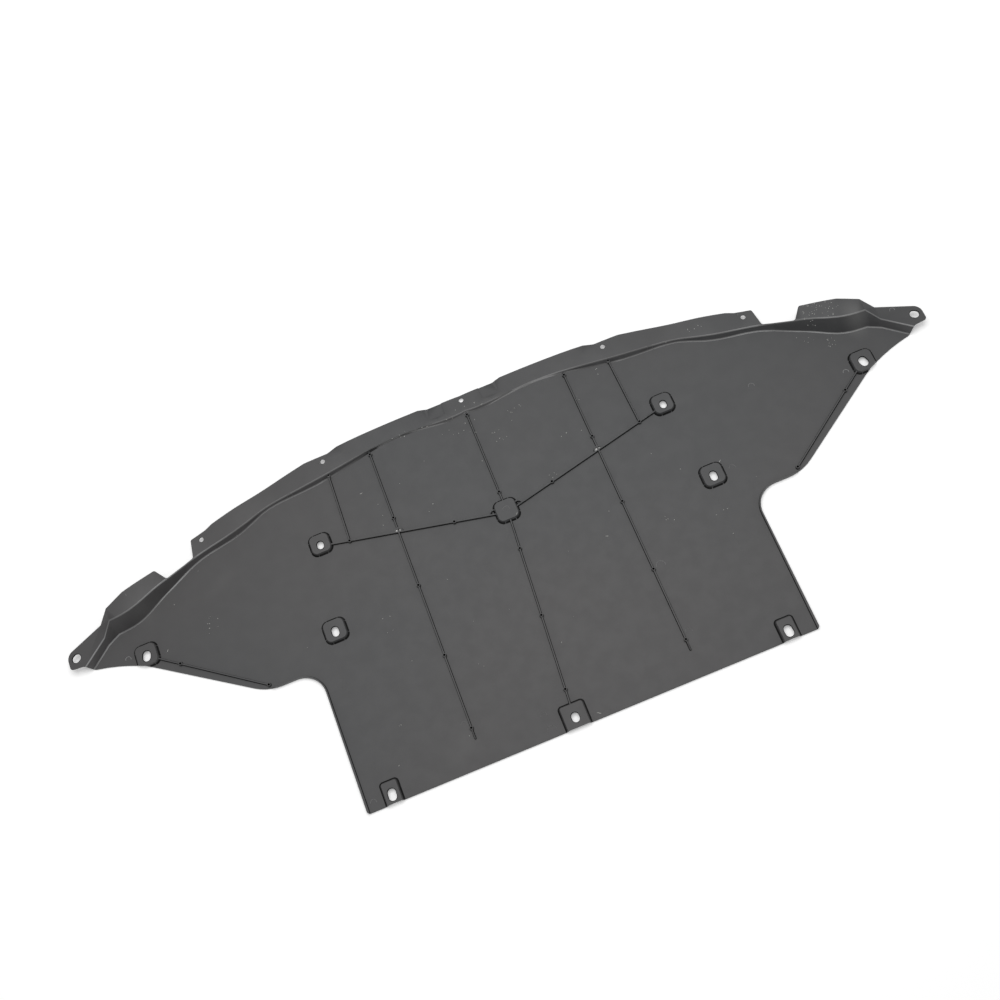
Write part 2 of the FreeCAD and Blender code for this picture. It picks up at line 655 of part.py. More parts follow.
dip_plan = new_sketch(half, "dip_plan", height="skin + rise_0 - dip_depth")
DIP = [("dip_start", "foot_0 + spare / 4"), ("dip_start", "half_depth + spare"),
       ("dip_end", "half_depth + spare"), ("dip_end", "foot_0 + spare / 4")]
add_outline(dip_plan, [(x, y, None) for x, y in DIP])
hollow(half, dip_plan, "dip", "spare")

half_holes = new_sketch(half, "half_holes")
add_circle(half_holes, "0", "mid_clip_y", "clip_hole")
add_circle(half_holes, "outer_clip_x", "outer_clip_y", "clip_hole")
add_circle(half_holes, "inner_clip_x", "inner_clip_y", "clip_hole")
for name, x, y, turn in (("ear_hole", "ear_hole_x", "ear_hole_y", "ear_hole_turn"),
                         ("inner_hole", "inner_pad_x", "inner_hole_y", "90"),
                         ("middle_hole", "middle_pad_x", "middle_hole_y", "90"),
                         ("outer_hole", "outer_pad_x", "outer_hole_y", "outer_hole_turn"),
                         ("rear_hole", "rear_pad_x", "rear_hole_y", "rear_hole_turn")):
    add_slot(half_holes, x, y, name + "_width", name + "_length", turn)
cut_through(half, half_holes, "half_hole_cut")

# Whole panel: both halves, then the slanting rib and the single rear pad
mirrored = doc.addObject("Part::Mirroring", "left_half")
mirrored.Source = half
mirrored.Normal = (1, 0, 0)
both = doc.addObject("Part::Fuse", "both_halves")
both.Base = half
both.Tool = mirrored
both.Refine = True
doc.recompute()

panel = doc.addObject("PartDesign::Body", "splash_shield_panel")
panel.BaseFeature = both
doc.recompute()
emboss(panel, "offset_pad", "offset_pad_x", "offset_pad_front", "0 - half_depth - spare / 2",
       "offset_pad_width", "rear_pad_corner", 2)
slant_start, slant_end = boss_rear + " + skin", "offset_pad_front - skin"
rib(panel, "slanting_rib", "0", slant_start, "offset_pad_x", slant_end)


def slant_x(y):
    """Slanting rib's distance from the centre line at a place fore and aft."""
    return "offset_pad_x * ((%s) - (%s)) / (%s - (%s))" % (y, slant_start, slant_end, slant_start)


posts(panel, "slant_posts", [(slant_x(y), y) for y in ["slant_post_y"] + REAR_POSTS[1:]])
offset_hole = new_sketch(panel, "offset_hole")
add_slot(offset_hole, "offset_pad_x", "offset_hole_y", "offset_hole_width", "offset_hole_length", "90")
cut_through(panel, offset_hole, "offset_hole_cut")
trim_rear = new_sketch(panel, "rear_trim_plan")
REAR = [("0 - half_width", "0 - half_depth"), ("half_width", "0 - half_depth"),
        ("half_width", "0 - half_depth - spare"), ("0 - half_width", "0 - half_depth - spare")]
add_outline(trim_rear, [(x, y, None) for x, y in REAR])
cut_through(panel, trim_rear, "rear_trim")

for item in doc.Objects:
    if "Invalid" in item.State or "Error" in item.State:
        raise ValueError("%s was not built: %s" % (item.Label, item.State))
if panel.Shape.isNull() or not panel.Shape.isValid() or len(panel.Shape.Solids) != 1:
    raise ValueError("the panel is not one valid solid")
os.makedirs("parts", exist_ok=True)
panel.Shape.exportStep("parts/%s.step" % panel.Label)
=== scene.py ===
"""Looks of a bumper splash shield: moulded skin with painted highlights and painted shade, moulding marks,
crumbs, scratches and stage.
"""
import json
import math
import random

import bmesh
import bpy
from mathutils import Matrix, Vector


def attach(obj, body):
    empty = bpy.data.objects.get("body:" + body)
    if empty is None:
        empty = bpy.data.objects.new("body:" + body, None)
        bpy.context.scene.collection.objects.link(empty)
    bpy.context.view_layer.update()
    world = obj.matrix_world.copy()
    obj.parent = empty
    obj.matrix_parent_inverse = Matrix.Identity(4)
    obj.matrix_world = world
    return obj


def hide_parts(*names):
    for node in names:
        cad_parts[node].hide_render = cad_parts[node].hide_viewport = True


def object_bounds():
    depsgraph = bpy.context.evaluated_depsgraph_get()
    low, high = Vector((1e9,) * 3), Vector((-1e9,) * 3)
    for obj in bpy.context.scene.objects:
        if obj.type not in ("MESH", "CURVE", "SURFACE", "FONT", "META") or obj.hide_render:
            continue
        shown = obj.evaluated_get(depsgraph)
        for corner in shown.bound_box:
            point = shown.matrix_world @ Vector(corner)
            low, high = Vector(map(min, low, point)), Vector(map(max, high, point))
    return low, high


bl_info = {
    "name": "Splash Shield Looks",
    "version": (1, 0, 0),
    "blender": (4, 5, 0),
    "location": "3D View > Sidebar > Splash Shield",
    "description": "Dresses the moulded panel of a bumper splash shield and sets its stage",
    "category": "Object",
}

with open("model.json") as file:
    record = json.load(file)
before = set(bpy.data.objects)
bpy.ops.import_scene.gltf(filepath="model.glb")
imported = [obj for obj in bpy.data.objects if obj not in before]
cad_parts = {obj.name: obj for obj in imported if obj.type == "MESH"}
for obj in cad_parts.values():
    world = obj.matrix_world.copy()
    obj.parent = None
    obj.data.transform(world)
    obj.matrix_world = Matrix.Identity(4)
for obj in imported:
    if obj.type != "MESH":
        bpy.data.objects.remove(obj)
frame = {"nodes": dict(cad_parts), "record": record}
CAD_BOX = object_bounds()
PANEL_NODE = "splash_shield_panel"
BODY = "root"

# Skin of the solid panel and the levels of its plate, pads and posts, in metres like every length here
SKIN = 0.0025
PLATE_TOP = SKIN
PAD_TOP = PLATE_TOP + 0.0060
POST_TOP = PLATE_TOP + 0.0046

# Middles of the oblong fixing holes, and how far from there their rims reach
HOLES = [(Vector(box["box_m"][0]) + Vector(box["box_m"][1])) / 2
         for box in frame["record"]["physics"]["openings"]]
HOLE_REACH = 0.012

# Upward part of a face's normal, which tells how the face leans
LEVEL = 0.99
PAD_WALL = (0.3, 0.7)
RISING_WALL = (-0.1, 0.5)
HOLE_WALL = (-0.05, 0.05)
BEND = (0.6, 0.97)

# Most that the corners of a level face differ in height, widest bend, and lowest wall whose foot gets
# painted shade
FLAT_SPREAD = 0.00001
BEND_WIDTH = 0.0031
WALL_RISE = 0.0005

# Corners closer than this are one corner, in the solid's triangles and in the finished skin
TRIANGLE_GAP = 0.000001
SKIN_GAP = 0.000002

# Faces that turn by less than this are one face
FLAT_TURN = math.radians(0.05)

# How far a round post reaches down, and how far it stands proud of the solid's post
POST_REACH = POST_TOP / 2
POST_PROUD = 0.00005

# How far the strips of painted shade stand proud of the plastic
SHADE_LIFT = 0.00002

# Sides of the round posts and their wells, and share of a well's radius within which its faces lie
POST_SIDES = 20
WELL_SIDES = 14
WELL_REACH = 1.02

# Marks lie at least this far under the top of the CAD box, and are let down on the panel from this height
TOP_MARGIN = 0.0009
DROP_HEIGHT = 1.0

# Order of the skin's materials
PLAIN, HIGHLIGHTED, SHADED = range(3)

# Shine of the plastic, how much the gloss varies, and how much smoother the plastic under the painted bend
# highlight is
PLASTIC_IOR = 1.49
GLOSS_SPREAD = 0.02
HIGHLIGHT_GLOSS_SHIFT = -0.12

# How many times paler the painted shade is where it is thin
THIN_SHADE = 3

# Camera at the photograph's viewing angle, in the panel's frame
CAMERA_PLACE = Vector((-0.0222, -0.6843, 2.1054))
CAMERA_RIGHT = Vector((0.9248, -0.3595, -0.1247))
CAMERA_UP = Vector((0.3804, 0.8663, 0.3236))
CAMERA_BACK = Vector((-0.0083, -0.3467, 0.9379))

# The lamp overhead, which faces the panel's middle
LAMP_PLACE = Vector((0.1, 0.6, 2.9))
LAMP_WIDTH = 2.6
LAMP_DEPTH = 2.0

# Distances from the middle between which the floor fades to pure white
FLOOR_FADE = (0.8, 5.0)
WHITE = (1.0, 1.0, 1.0, 1.0)

# Rings that the ejector pins left: place on the panel and radius
EJECTOR_RINGS = [
    (0.1887, -0.1079, 0.0072), (0.1861, -0.2208, 0.0050), (-0.0636, -0.2811, 0.0072),
    (-0.3545, -0.2793, 0.0050), (0.5860, 0.0704, 0.0045), (-0.6186, 0.1742, 0.0048),
    (0.6206, 0.1739, 0.0050), (-0.0672, -0.2560, 0.0048), (0.0, 0.0722, 0.0055), (0.4400, 0.1100, 0.0048),
    (0.3180, 0.2360, 0.0048), (-0.3180, 0.2360, 0.0048), (-0.1850, -0.2220, 0.0048),
    (-0.6485, 0.0826, 0.0045), (0.3550, -0.0050, 0.0048), (0.6947, 0.1327, 0.0040),
]

# The arc of such a ring on its lit side, which alone is made, in the pale material of the painted
# highlight: where it starts and how far it runs round
LIT_ARC_START = math.radians(-20)
LIT_ARC_SWEEP = math.radians(200)

# Crossings of the cross rib and the long ribs, where the plastic entered the mould
GATE_PLACES = [(0.1731, 0.1074), (-0.1731, 0.1074)]

# Pale marks beside such a crossing: offset from it and radius
GATE_MARKS = [(-0.0027, 0.0029, 0.0034), (0.0036, 0.0036, 0.0024)]

# Patches where pale crumbs lie: middle, half width, half depth, and how many
CRUMB_PATCHES = [
    (0.403, 0.241, 0.018, 0.006, 6), (0.478, 0.232, 0.010, 0.004, 4), (0.578, 0.197, 0.008, 0.006, 3),
    (0.592, 0.176, 0.032, 0.018, 46), (0.597, 0.130, 0.016, 0.010, 8), (0.560, 0.150, 0.020, 0.010, 6),
    (0.038, 0.197, 0.012, 0.010, 7), (0.075, 0.229, 0.016, 0.005, 6), (0.132, 0.154, 0.008, 0.005, 3),
    (0.180, 0.207, 0.006, 0.005, 3), (0.218, 0.233, 0.006, 0.008, 3), (0.092, 0.097, 0.006, 0.005, 4),
    (0.310, -0.070, 0.012, 0.010, 3), (0.232, -0.048, 0.010, 0.008, 3), (-0.130, -0.148, 0.006, 0.006, 2),
    (-0.240, -0.028, 0.008, 0.018, 4), (-0.504, 0.085, 0.012, 0.014, 9), (0.0, 0.230, 0.050, 0.012, 10),
    (0.5691, 0.1942, 0.0005, 0.0005, 3), (0.5747, 0.1908, 0.0005, 0.0005, 3),
    (0.5840, 0.1344, 0.0005, 0.0005, 3), (0.6025, 0.1583, 0.0005, 0.0005, 2),
    (0.5911, 0.1335, 0.0005, 0.0005, 1), (0.6007, 0.1837, 0.0005, 0.0005, 1),
    (-0.150, 0.150, 0.050, 0.040, 5), (-0.060, 0.262, 0.080, 0.006, 12), (0.0, 0.0, 0.600, 0.250, 40),
]

# Seeds of the crumbs' places and shapes, and the shares of their full size and turn that chance gives them
CRUMB_PLACE_SEED = 7
CRUMB_SHAPE_SEED = 3
CRUMB_SHAPE = ((0.35, 0.35, 0.2), (1.0, 0.8, 0.5))
CRUMB_TURN = ((0.0, 0.0, 0.0), (0.3, 0.3, math.tau))

# Soft pale patches painted where the plastic's sheen lifts over soft dents: middle, half length, half
# width, direction in degrees and strength
SHEEN_PATCHES = [
    (-0.468, 0.145, 0.050, 0.018, 20, 0.03), (0.325, 0.137, 0.030, 0.020, 0, 0.03),
    (-0.198, -0.248, 0.050, 0.030, 30, 0.04), (0.050, 0.140, 0.080, 0.030, 20, 0.02),
    (0.635, 0.143, 0.026, 0.040, 10, 0.20), (-0.598, 0.145, 0.030, 0.040, 0, 0.05),
]

# Stretch where the low step lies in its own shade, painted near-black as a dark groove: middle, half
# length, half width, degrees and strength
SHADED_GROOVE = (-0.135, 0.2535, 0.085, 0.030, 4, 2.0)

# Short scratches, and at the boss's rim one pale streak that is a painted highlight: middle, length and
# direction in degrees
SCRATCHES_AND_GLINT = [
    (0.0112, -0.2842, 0.0070, -35), (-0.5842, 0.0712, 0.0050, 60), (0.0300, 0.2050, 0.0040, 20),
    (0.3420, 0.0130, 0.0050, 35), (-0.2080, 0.1950, 0.0050, 10), (0.1300, -0.0310, 0.0050, -20),
    # The last entry on the next line, at the boss's rim, is a painted highlight
    (0.0291, 0.2589, 0.0036, 0), (-0.0681, 0.2599, 0.0036, 0), (0.0130, 0.0590, 0.0050, 45),
]


class ShieldSizes(bpy.types.PropertyGroup):
    """Sizes of the small forms and marks on the panel"""
    smooth_angle: bpy.props.FloatProperty(
        name="Smooth angle", description="Edges sharper than this stay crisp",
        default=math.radians(38), subtype="ANGLE")
    pad_rim: bpy.props.FloatProperty(
        name="Pad rim", description="How far the rim of a pad is rounded off",
        default=0.0011, unit="LENGTH")
    post_radius: bpy.props.FloatProperty(
        name="Post radius", description="Outer radius of a post on a rib", default=0.00285, unit="LENGTH")
    well_radius: bpy.props.FloatProperty(
        name="Well radius", description="Radius of the well, the blind hole in a post",
        default=0.0019, unit="LENGTH")
    well_depth: bpy.props.FloatProperty(
        name="Well depth", description="Depth of that hole", default=0.0050, unit="LENGTH")
    # The next four sizes are of the painted shade along the feet of ribs, posts and pads and round the
    # oblong holes
    shade_width: bpy.props.FloatProperty(
        name="Grime width", description="Reach of the dark grime along the feet of ribs, posts and pads",
        default=0.0009, unit="LENGTH")
    shade_rise: bpy.props.FloatProperty(
        name="Grime rise", description="Height of that grime on ribs and posts",
        default=0.0012, unit="LENGTH")
    pad_shade_rise: bpy.props.FloatProperty(
        name="Grime rise at pads", description="How far the grime climbs the leaning walls of the pads",
        default=0.0030, unit="LENGTH")
    hole_rim_shade: bpy.props.FloatProperty(
        name="Grime round holes", description="Width of the dark rim round an oblong fixing hole",
        default=0.0009, unit="LENGTH")
    ring_width: bpy.props.FloatProperty(
        name="Ejector ring width", description="Width of the ring that an ejector pin left",
        default=0.0009, unit="LENGTH")
    ring_rise: bpy.props.FloatProperty(
        name="Ejector ring rise", description="How thick that ring is, half of it proud",
        default=0.00025, unit="LENGTH")
    scratch_width: bpy.props.FloatProperty(
        name="Scratch width", description="Width of a short scratch", default=0.00063, unit="LENGTH")
    scratch_rise: bpy.props.FloatProperty(
        name="Scratch rise", description="How thick its burr is, half of it proud",
        default=0.00008, unit="LENGTH")
    crumb_size: bpy.props.FloatProperty(
        name="Crumb size", description="Largest radius of a pale crumb", default=0.0009, unit="LENGTH")
    gate_flatness: bpy.props.FloatProperty(
        name="Gate mark flatness", description="Height of a whitened gate mark as a share of its radius",
        default=0.6, min=0, max=0.7)


class ShieldFinish(bpy.types.PropertyGroup):
    """Colours and gloss of the panel"""
    plastic: bpy.props.FloatVectorProperty(
        name="Plastic", description="Dark grey of the moulded plastic", default=(0.0605, 0.0615, 0.0635),
        subtype="COLOR", size=3, min=0, max=1)
    plastic_warm: bpy.props.FloatVectorProperty(
        name="Warm tone", description="Slightly browner grey of the older areas",
        default=(0.0635, 0.0615, 0.0625), subtype="COLOR", size=3, min=0, max=1)
    # Pale grey painted along the bends of the step wall and pad rims as a highlight, and on the lit arcs of
    # the ejector rings
    bend_highlight: bpy.props.FloatVectorProperty(
        name="Worn edges", description="Burnished plastic along the bends of the step wall and pad rims",
        default=(0.260, 0.261, 0.263), subtype="COLOR", size=3, min=0, max=1)
    # Near-black painted as shade in corners, wells, holes and the groove
    painted_shade: bpy.props.FloatVectorProperty(
        name="Grime", description="Dark grime in corners, wells and holes",
        default=(0.005, 0.005, 0.005), subtype="COLOR", size=3, min=0, max=1)
    # Pale dust film; the patches of painted sheen take this colour too
    dust: bpy.props.FloatVectorProperty(
        name="Dust", description="Film of pale dust", default=(0.30, 0.30, 0.29),
        subtype="COLOR", size=3, min=0, max=1)
    crumb: bpy.props.FloatVectorProperty(
        name="Crumbs", description="Pale crumbs of grit and trimmed plastic", default=(0.60, 0.60, 0.57),
        subtype="COLOR", size=3, min=0, max=1)
    # Pale colour of the marks at the gates
    gate: bpy.props.FloatVectorProperty(
        name="Gate marks", description="Whitened plastic at the gates", default=(0.82, 0.82, 0.80),
        subtype="COLOR", size=3, min=0, max=1)
    roughness: bpy.props.FloatProperty(
        name="Roughness", description="Roughness of the grained face", default=0.52, min=0, max=1)


class ShieldStage(bpy.types.PropertyGroup):
    """Floor, light and camera"""
    floor: bpy.props.FloatVectorProperty(
        name="Floor", description="Colour of the floor", default=(0.80, 0.80, 0.80),
        subtype="COLOR", size=3, min=0, max=1)
    floor_size: bpy.props.FloatProperty(
        name="Floor size", description="Side of the floor", default=30.0, unit="LENGTH")
    world: bpy.props.FloatProperty(
        name="World light", description="Strength of the even light from all round", default=0.38, min=0)
    key: bpy.props.FloatProperty(
        name="Key light", description="Power of the large lamp overhead", default=50.0, min=0)
    floor_lift: bpy.props.FloatProperty(
        name="Floor lift", description="How far the floor is lifted towards white where the camera sees it",
        default=0.25, min=0)
    lens: bpy.props.FloatProperty(
        name="Lens", description="Focal length", default=0.0504, unit="CAMERA")


class Network:
    """Short way to add nodes to a material, a world or a Geometry Nodes tree"""

    def __init__(self, tree):
        self.nodes = tree.nodes
        self.links = tree.links

    def feed(self, socket, value):
        """Sets a socket to a number or a colour, or links another node's output to it."""
        if isinstance(value, bpy.types.NodeSocket):
            self.links.new(value, socket)
        else:
            socket.default_value = value

    def put(self, node, **inputs):
        """Sets a node's inputs by name, underscores standing for spaces."""
        for label, value in inputs.items():
            self.feed(node.inputs[label.replace("_", " ")], value)
        return node

    def add(self, kind, settings=None, **inputs):
        """New node with some settings and inputs."""
        node = self.nodes.new(kind)
        for name, value in (settings or {}).items():
            setattr(node, name, value)
        return self.put(node, **inputs)

    def math(self, operation, *values):
        """Result of a sum on numbers or other nodes' outputs."""
        node = self.add("ShaderNodeMath", {"operation": operation})
        for socket, value in zip(node.inputs, values):
            self.feed(socket, value)
        return node.outputs[0]


class Shader(Network):
    """Material whose surface is built from patterns on Object coordinates"""

    def __init__(self, name):
        self.material = bpy.data.materials.new(name)
        self.material.use_nodes = True
        super().__init__(self.material.node_tree)
        self.nodes.clear()
        self.output = self.add("ShaderNodeOutputMaterial")
        self.surface = self.add("ShaderNodeBsdfPrincipled")
        self.put(self.output, Surface=self.surface.outputs[0])
        self.place = self.add("ShaderNodeTexCoord").outputs["Object"]

    def noise(self, scale, detail=2.0, roughness=0.5):
        return self.add("ShaderNodeTexNoise", Scale=scale, Detail=detail, Roughness=roughness,
                        Vector=self.place).outputs["Fac"]

    def cells(self, scale):
        return self.add("ShaderNodeTexVoronoi", Scale=scale, Vector=self.place).outputs["Distance"]

    def ramp(self, value, low, high, bottom=0.0, top=1.0):
        """Smooth step from bottom to top, as a value goes from low to high."""
        return self.add("ShaderNodeMapRange", {"interpolation_type": "SMOOTHSTEP"}, Value=value,
                        From_Min=low, From_Max=high, To_Min=bottom, To_Max=top).outputs["Result"]

    def mix(self, share, first, second):
        """Colour between two colours."""
        node = self.add("ShaderNodeMix", {"data_type": "RGBA"})
        for index, value in ((0, share), (6, first), (7, second)):
            self.feed(node.inputs[index], value)
        return node.outputs[2]

    def bump(self, height, strength, distance, normal=None):
        node = self.add("ShaderNodeBump", Height=height, Strength=strength, Distance=distance)
        if normal is not None:
            self.put(node, Normal=normal)
        return node.outputs["Normal"]

    def ends(self):
        """About a third over the middle of the panel, rising to 1 towards both ends, unevenly."""
        side = self.math("ABSOLUTE", self.add("ShaderNodeSeparateXYZ", Vector=self.place).outputs["X"])
        reach = self.ramp(side, low=0.34, high=0.56, bottom=0.35)
        return self.math("MULTIPLY", reach, self.ramp(self.noise(9.0), low=0.36, high=0.58, bottom=0.45))

    def patch(self, x, y, length, width, turn, strength):
        """The strength in the middle of an oval patch on the panel, falling softly to 0 at its edge."""
        mapping = self.add("ShaderNodeMapping", {"vector_type": "TEXTURE"}, Vector=self.place,
                           Location=(x, y, 0), Rotation=(0, 0, math.radians(turn)),
                           Scale=(length, width, 10.0))
        gradient = self.add("ShaderNodeTexGradient", {"gradient_type": "SPHERICAL"},
                            Vector=mapping.outputs[0])
        return self.math("MULTIPLY", self.ramp(gradient.outputs["Fac"], low=0.0, high=1.0), strength)


def opaque(colour):
    return (*colour, 1.0)


def plain_tone(shader, finish):
    """Dark grey that drifts slowly towards a warmer one."""
    drift = shader.ramp(shader.noise(1.6), low=0.35, high=0.65)
    return shader.mix(drift, opaque(finish.plastic), opaque(finish.plastic_warm))


def bend_highlight_and_groove_shade(shader, finish):
    """Pale grey painted on the bends as a highlight, palest towards the panel's ends, and painted shade,
    near-black, in the groove.
    """
    tone = shader.mix(shader.ends(), opaque(finish.plastic_warm), opaque(finish.bend_highlight))
    # Painted shade in the groove
    return shader.mix(shader.patch(*SHADED_GROOVE), tone, opaque(finish.painted_shade))


def moulded_plastic(name, finish, tone_of, roughness):
    """Plastic in a tone, with fine grain, a film of dust, pale patches of painted sheen and uneven gloss.
    """
    shader = Shader(name)
    tone = tone_of(shader, finish)
    dust_and_sheen = shader.ramp(shader.noise(3.0, detail=3.0), low=0.35, high=0.75, top=0.015)
    # Patches of painted sheen join the dust film
    for sheen_patch in SHEEN_PATCHES:
        dust_and_sheen = shader.math("ADD", dust_and_sheen, shader.patch(*sheen_patch))
    specks = shader.ramp(shader.noise(900.0, roughness=0.7), low=0.62, high=0.78, top=0.06)
    colour = shader.mix(shader.math("ADD", dust_and_sheen, specks), tone, opaque(finish.dust))
    ripple = shader.noise(14.0, detail=3.0, roughness=0.55)
    normal = shader.bump(ripple, strength=0.012, distance=0.002)
    normal = shader.bump(shader.cells(1400.0), strength=0.25, distance=0.00015, normal=normal)
    gloss = shader.ramp(shader.noise(40.0, detail=3.0, roughness=0.6), low=0.3, high=0.7,
                        bottom=roughness - GLOSS_SPREAD, top=roughness + GLOSS_SPREAD)
    shader.put(shader.surface, Base_Color=colour, Roughness=gloss, Normal=normal, IOR=PLASTIC_IOR)
    return shader.material


def painted_shade_material(finish):
    """Painted shade: dull near-black, uneven from place to place."""
    shader = Shader("painted_shade_material")
    thin = [THIN_SHADE * part for part in finish.painted_shade]
    share = shader.ramp(shader.noise(60.0, detail=3.0), low=0.3, high=0.7)
    tone = shader.mix(share, opaque(finish.painted_shade), opaque(thin))
    shader.put(shader.surface, Base_Color=tone, Roughness=0.8, Specular_IOR_Level=0.2)
    return shader.material


def pale_material(name, colour, roughness, darkest):
    """Pale matt material of crumbs and whitened plastic, down to a share of its colour in places."""
    shader = Shader(name)
    dark = [darkest * part for part in colour]
    tone = shader.mix(shader.ramp(shader.noise(300.0), low=0.35, high=0.65), opaque(dark), opaque(colour))
    normal = shader.bump(shader.noise(2500.0), strength=0.4, distance=0.0002)
    shader.put(shader.surface, Base_Color=tone, Roughness=roughness, Normal=normal)
    return shader.material


def link_object(name, data):
    """New object in the scene, at the origin."""
    piece = bpy.data.objects.new(name, data)
    bpy.context.scene.collection.objects.link(piece)
    return piece


def plain_mesh(piece):
    """Mesh of an object as its modifiers leave it."""
    graph = bpy.context.evaluated_depsgraph_get()
    return bpy.data.meshes.new_from_object(piece.evaluated_get(graph), depsgraph=graph)


def merged_form(node):
    """Mesh under edit of a CAD node, with its triangles joined."""
    form = bmesh.new()
    form.from_mesh(frame["nodes"][node].data)
    bmesh.ops.remove_doubles(form, verts=form.verts, dist=TRIANGLE_GAP)
    return form


def within(value, limits):
    return limits[0] < value < limits[1]


def lies_at(part, height):
    """Whether all corners of an edge or a face lie at a height."""
    return all(abs(vertex.co.z - height) < FLAT_SPREAD for vertex in part.verts)


def round_pad_rims(form, width):
    """Rounds the rims between the level tops of the pads and their leaning walls."""
    def is_rim(edge):
        if not lies_at(edge, PAD_TOP) or len(edge.link_faces) != 2:
            return False
        wall, top = sorted(face.normal.z for face in edge.link_faces)
        return top > LEVEL and within(wall, PAD_WALL)

    rims = [edge for edge in form.edges if is_rim(edge)]
    bmesh.ops.bevel(form, geom=rims, offset=width, segments=2, profile=0.5, affect="EDGES",
                    clamp_overlap=True)


def level_islands(form, height):
    """Middles of the separate level faces at a height, such as the tops of the posts, in a fixed order."""
    form.faces.index_update()
    form.verts.index_update()
    waiting = {face.index: face for face in form.faces if face.normal.z > LEVEL and lies_at(face, height)}
    middles = []
    while waiting:
        front = [waiting.pop(min(waiting))]
        corners = {}
        while front:
            face = front.pop()
            corners.update((vertex.index, vertex.co) for vertex in face.verts)
            for edge in face.edges:
                for other in edge.link_faces:
                    if other.index in waiting:
                        front.append(waiting.pop(other.index))
        middles.append(sum(corners.values(), Vector()) / len(corners))
    return middles


def join_level_faces(piece):
    """Joins the triangles of each level or leaning face into one face, which shades evenly."""
    form = bmesh.new()
    form.from_mesh(piece.data)
    bmesh.ops.remove_doubles(form, verts=form.verts, dist=SKIN_GAP)
    bmesh.ops.dissolve_degenerate(form, dist=SKIN_GAP, edges=form.edges)
    bmesh.ops.dissolve_limit(form, angle_limit=FLAT_TURN, verts=form.verts, edges=form.edges)
    form.to_mesh(piece.data)
    form.free()


def shade(piece, smooth_angle):
    """Shades soft bends smooth. Large faces weigh most, so that they look flat up to their edges."""
    piece.data.shade_smooth()
    piece.data.set_sharp_from_angle(angle=smooth_angle)
    weighting = piece.modifiers.new("weighting", "WEIGHTED_NORMAL")
    weighting.mode = "FACE_AREA"
    weighting.weight = 100
    weighting.keep_sharp = True
    result = plain_mesh(piece)
    piece.modifiers.clear()
    piece.data = result


def is_bend(polygon, mesh):
    """Whether a face belongs to a narrow bend between a level and a leaning face."""
    corners = [mesh.vertices[index].co for index in polygon.vertices]
    longest = max((corners[i] - corners[i - 1]).length for i in range(len(corners)))
    return within(polygon.normal.z, BEND) and polygon.area < BEND_WIDTH * longest


def is_in_well(polygon, tops, radius):
    """Whether a face lies inside the blind hole of a post."""
    if not PLATE_TOP - SKIN < polygon.center.z < POST_TOP - FLAT_SPREAD:
        return False
    return any((polygon.center - top).xy.length < WELL_REACH * radius for top in tops)


class Tree(Network):
    """Geometry Nodes tree that starts from points, with inputs by name and kind"""

    def __init__(self, name, **inputs):
        self.tree = bpy.data.node_groups.new(name, "GeometryNodeTree")
        super().__init__(self.tree)
        sockets = self.tree.interface
        sockets.new_socket("Geometry", in_out="INPUT", socket_type="NodeSocketGeometry")
        sockets.new_socket("Geometry", in_out="OUTPUT", socket_type="NodeSocketGeometry")
        for label, kind in inputs.items():
            sockets.new_socket(label.replace("_", " "), in_out="INPUT", socket_type="NodeSocket" + kind)
        self.start = self.add("NodeGroupInput")
        self.end = self.add("NodeGroupOutput")

    def value(self, label):
        return self.start.outputs[label]

    def trait(self, label):
        """A number that each point brings along."""
        node = self.add("GeometryNodeInputNamedAttribute", {"data_type": "FLOAT"}, Name=label)
        return node.outputs["Attribute"]

    def chance(self, least, most):
        """A random vector for each point, from the input Seed."""
        node = self.add("FunctionNodeRandomValue", {"data_type": "FLOAT_VECTOR"}, Seed=self.value("Seed"))
        self.feed(node.inputs[0], least)
        self.feed(node.inputs[1], most)
        return node.outputs[0]

    def copies(self, form, **inputs):
        """Copies of a form, one at each point."""
        return self.add("GeometryNodeInstanceOnPoints", Points=self.value("Geometry"), Instance=form,
                        **inputs).outputs[0]

    def real(self, copies):
        return self.add("GeometryNodeRealizeInstances", Geometry=copies).outputs[0]

    def close(self, geometry, material):
        """Ends the tree in real geometry with a material."""
        coated = self.add("GeometryNodeSetMaterial", Geometry=self.real(geometry), Material=material)
        self.put(self.end, Geometry=coated.outputs[0])
        return self


def grow(name, points, tree, values, traits=None):
    """Keeps what a tree makes of loose points as a plain mesh object. Points have traits by name."""
    mesh = bpy.data.meshes.new(name)
    mesh.from_pydata([tuple(point) for point in points], [], [])
    for label, column in (traits or {}).items():
        mesh.attributes.new(label, "FLOAT", "POINT").data.foreach_set("value", column)
    source = link_object(name + "_points", mesh)
    modifier = source.modifiers.new("grow", "NODES")
    modifier.node_group = tree.tree
    for socket in tree.tree.interface.items_tree:
        if socket.in_out == "INPUT" and socket.name in values:
            modifier[socket.identifier] = values[socket.name]
    result = plain_mesh(source)
    result.name = name
    source.modifiers.clear()
    bpy.data.objects.remove(source)
    return link_object(name, result)


def look_down(x, y):
    """Whether the panel lies under a place, and the point of its upper face there."""
    start = Vector((x, y, DROP_HEIGHT))
    return bpy.data.objects["panel_skin"].ray_cast(start, Vector((0, 0, -1)))[:2]


def surface_height(x, y):
    """Height of the panel's upper face at a place."""
    hit, point = look_down(x, y)
    if not hit:
        raise RuntimeError("nothing of the panel lies under %.3f, %.3f" % (x, y))
    return min(point.z, CAD_BOX[1][2] - TOP_MARGIN)


def lay_on_panel(piece):
    """Lifts a piece that was made at height 0 onto the panel, point by point."""
    for vertex in piece.data.vertices:
        vertex.co.z += surface_height(vertex.co.x, vertex.co.y)


def keep(piece):
    """Fixes a finished piece to the panel's body."""
    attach(piece, BODY)


